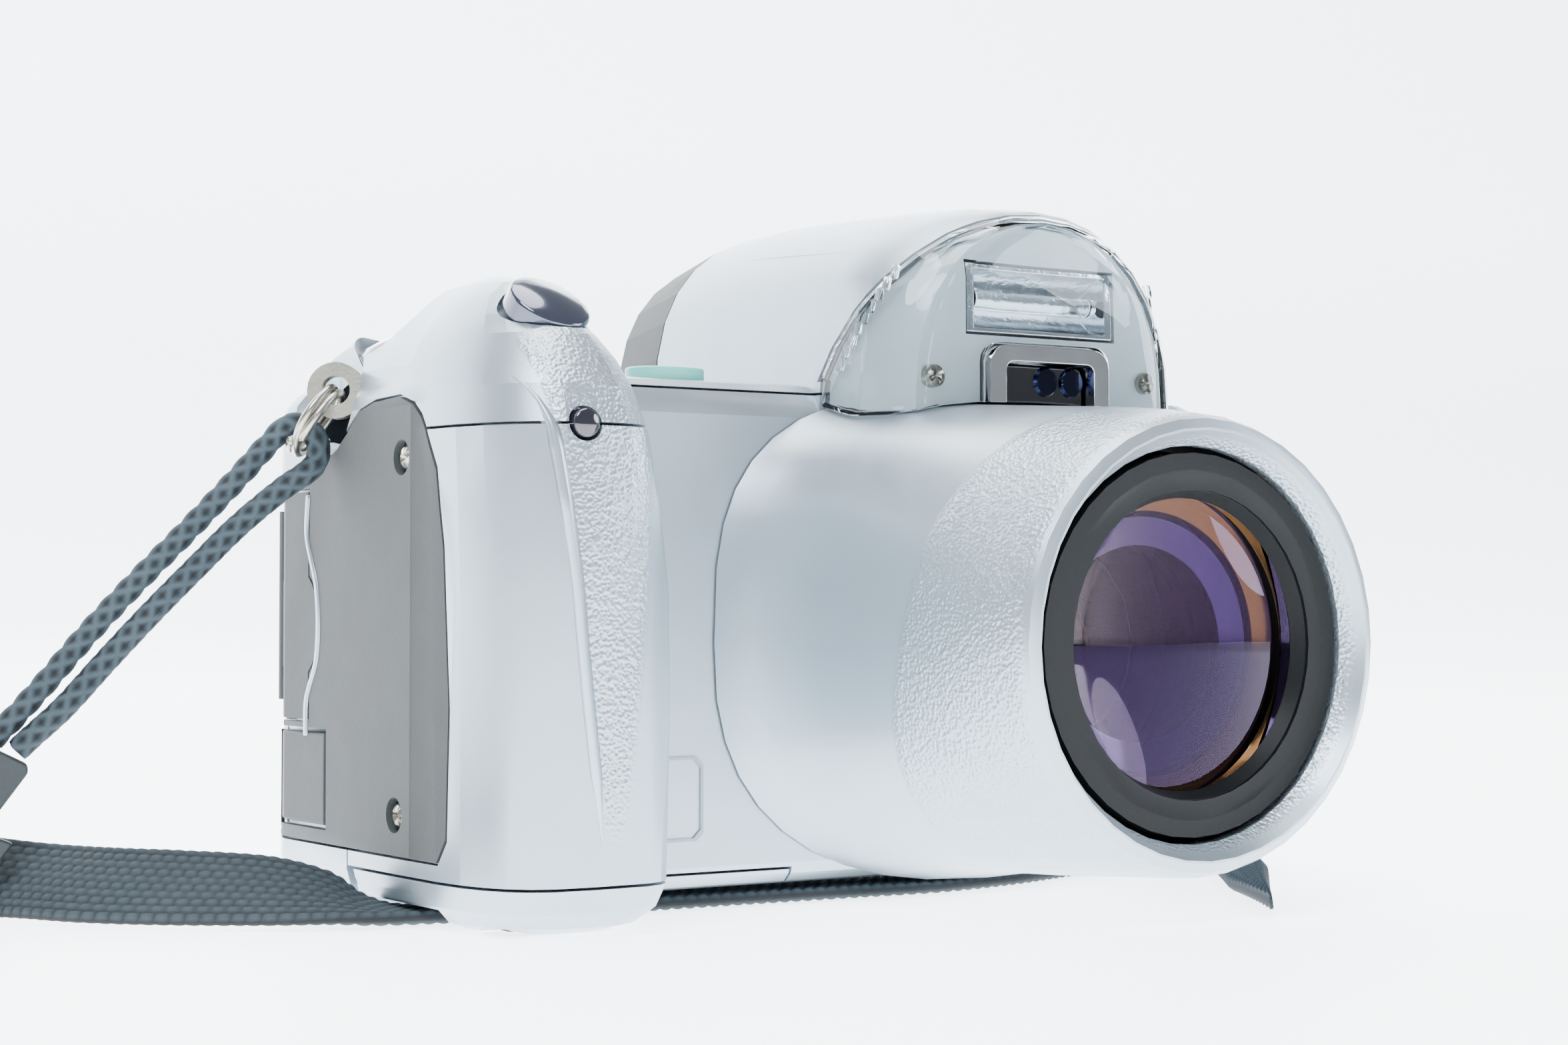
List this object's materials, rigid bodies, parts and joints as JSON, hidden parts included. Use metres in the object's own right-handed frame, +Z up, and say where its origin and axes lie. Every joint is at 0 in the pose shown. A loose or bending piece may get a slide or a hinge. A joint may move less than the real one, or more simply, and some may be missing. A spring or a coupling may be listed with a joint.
{
  "type": "bridge camera",
  "caption": "Silver bridge camera with a long zoom lens, contoured battery grip, clear flash cover under a viewfinder hump, rubber side panel and a narrow woven neck strap on the table.",
  "frame": {"origin": "on the table under the centre of the camera's box, strap left out", "axes": "+X from the hand grip towards the lens side, +Y from the lens towards the viewfinder, so the lens looks along -Y, +Z up"},
  "size_m": [0.1909, 0.1104, 0.08],
  "materials": {
    "shell": "silver metallic lacquer, fine grain",
    "clear": "clear polished moulding",
    "rubber": "fine matt grain",
    "black_plastic": "matt black moulding",
    "dark_gloss": "gunmetal gloss",
    "mint": "mint translucent",
    "nickel": "nickel plated",
    "cell": "printed sleeve, satin",
    "lens_glass": "multi-coated",
    "screen": "dark window",
    "board": "solder mask",
    "webbing": "woven polyester"
  },
  "bodies": {
    "camera_body": {"front_cover": "shell", "rear_cover": "shell", "top_cover": "shell", "lens_housing": "shell", "grip_panel": "rubber", "eyecup": "rubber", "battery_door_pin": "nickel", "tripod_socket": "nickel", "battery_1": "cell", "battery_2": "cell", "battery_3": "cell", "battery_4": "cell", "memory_card": "black_plastic", "main_board": "board", "flash_capacitor": "black_plastic", "lens_base": "black_plastic", "sensor_board": "board", "zoom_motor": "nickel", "flash_cover": "clear", "flash_housing": "shell", "flash_reflector": "nickel", "xenon_tube": "lens_glass", "af_frame": "nickel", "af_window": "screen", "eyepiece_lens": "lens_glass", "evf_module": "black_plastic", "lcd_window": "screen", "lcd_panel": "black_plastic", "self_timer_lamp": "black_plastic", "strap_lug_left": "nickel", "strap_lug_right": "nickel", "keeper_left": "black_plastic", "keeper_right": "black_plastic", "strap_loop_left": "webbing", "strap_loop_right": "webbing", "strap_web_a": "webbing", "strap_web_b": "webbing", "strap_tail": "webbing", "strap_hank": "webbing"},
    "zoom_barrel": {"front_barrel": "black_plastic", "front_element": "lens_glass"},
    "variator": {"variator_group": "black_plastic"},
    "focus_group": {"rear_group": "black_plastic"},
    "battery_door": {"battery_door": "shell"},
    "battery_latch": {"battery_latch": "black_plastic"},
    "card_door": {"card_door": "rubber"},
    "usb_cover": {"usb_cover": "rubber"},
    "zoom_rocker": {"zoom_rocker": "shell"},
    "four_way_pad": {"four_way_pad": "shell"},
    "centre_button": {"centre_button": "shell"},
    "menu_button": {"menu_button": "shell"},
    "display_button": {"display_button": "shell"},
    "play_button": {"play_button": "shell"},
    "power_button": {"power_button": "dark_gloss"},
    "green_button": {"green_button": "mint"},
    "shutter_button": {"shutter_button": "dark_gloss"},
    "mode_dial": {"mode_dial": "dark_gloss"},
    "dioptre_dial": {"dioptre_dial": "black_plastic"},
    "split_ring_left": {"split_ring_left": "nickel"},
    "split_ring_right": {"split_ring_right": "nickel"}
  },
  "joints": [
    {"name": "zoom_slide", "type": "slide", "parent": "camera_body", "child": "zoom_barrel", "axis": [0, -1, 0], "range_m": [0, 0.014]},
    {"name": "variator_slide", "type": "slide", "parent": "camera_body", "child": "variator", "axis": [0, 1, 0], "range_m": [0, 0.0049]},
    {"name": "focus_slide", "type": "slide", "parent": "camera_body", "child": "focus_group", "axis": [0, 1, 0], "range_m": [-0.0012, 0.0005]},
    {"name": "battery_door_hinge", "type": "hinge", "parent": "camera_body", "child": "battery_door", "pos_m": [-0.031, 0.0158, 0.0035], "axis": [1, 0, 0], "range_deg": [0, 85], "deforming": ["strap_web_b"]},
    {"name": "battery_latch_slide", "type": "slide", "parent": "battery_door", "child": "battery_latch", "axis": [1, 0, 0], "range_m": [0, 0.0025]},
    {"name": "card_door_hinge", "type": "hinge", "parent": "camera_body", "child": "card_door", "pos_m": [-0.0529, 0.0362, 0.033], "axis": [0, 0, -1], "range_deg": [0, 95]},
    {"name": "usb_cover_hinge", "type": "hinge", "parent": "camera_body", "child": "usb_cover", "pos_m": [-0.054, 0.0359, 0.014], "axis": [0, 0, -1], "range_deg": [0, 95]},
    {"name": "zoom_rocker_tilt", "type": "hinge", "parent": "camera_body", "child": "zoom_rocker", "pos_m": [-0.039, 0.039, 0.048], "axis": [0, 0, 1], "range_deg": [-7, 7], "stiffness_Nm_per_rad": 0.05},
    {"name": "four_way_pad_tilt", "type": "hinge", "parent": "camera_body", "child": "four_way_pad", "pos_m": [-0.027, 0.0375, 0.028], "axis": [1, 0, 0], "range_deg": [-3, 3], "stiffness_Nm_per_rad": 0.08},
    {"name": "centre_button_press", "type": "slide", "parent": "camera_body", "child": "centre_button", "axis": [0, -1, 0], "range_m": [0, 0.0004], "stiffness_N_per_m": 350},
    {"name": "menu_button_press", "type": "slide", "parent": "camera_body", "child": "menu_button", "axis": [0, -1, 0], "range_m": [0, 0.0004], "stiffness_N_per_m": 350},
    {"name": "display_button_press", "type": "slide", "parent": "camera_body", "child": "display_button", "axis": [0, -1, 0], "range_m": [0, 0.0004], "stiffness_N_per_m": 350},
    {"name": "play_button_press", "type": "slide", "parent": "camera_body", "child": "play_button", "axis": [0, -1, 0], "range_m": [0, 0.0004], "stiffness_N_per_m": 350},
    {"name": "power_button_press", "type": "slide", "parent": "camera_body", "child": "power_button", "axis": [0, 0, -1], "range_m": [0, 0.0005], "stiffness_N_per_m": 350},
    {"name": "green_button_press", "type": "slide", "parent": "camera_body", "child": "green_button", "axis": [0, 0, -1], "range_m": [0, 0.0004], "stiffness_N_per_m": 350},
    {"name": "shutter_button_press", "type": "slide", "parent": "camera_body", "child": "shutter_button", "axis": [-0.0999, 0.6191, -0.7789], "range_m": [0, 0.0008], "stiffness_N_per_m": 400},
    {"name": "mode_dial_turn", "type": "hinge", "parent": "camera_body", "child": "mode_dial", "pos_m": [-0.043, 0.0185, 0.0624], "axis": [-0.4215, 0.0803, 0.9033], "continuous": true},
    {"name": "dioptre_dial_turn", "type": "hinge", "parent": "camera_body", "child": "dioptre_dial", "pos_m": [0.0384, 0.024, 0.066], "axis": [1, 0, 0], "range_deg": [-100, 100]},
    {"name": "split_ring_left_turn", "type": "hinge", "parent": "camera_body", "child": "split_ring_left", "pos_m": [-0.05596, 0.0215, 0.05333], "axis": [-0.6841, 0.4493, 0.5746], "range_deg": [-90, 90]},
    {"name": "split_ring_right_turn", "type": "hinge", "parent": "camera_body", "child": "split_ring_right", "pos_m": [0.0568, 0.02, 0.04633], "axis": [-0.9166, 0, -0.3998], "range_deg": [-90, 90]}
  ],
  "couplings": [
    {"joint": "variator_slide", "follows": "zoom_slide", "ratio": 0.34}
  ]
}
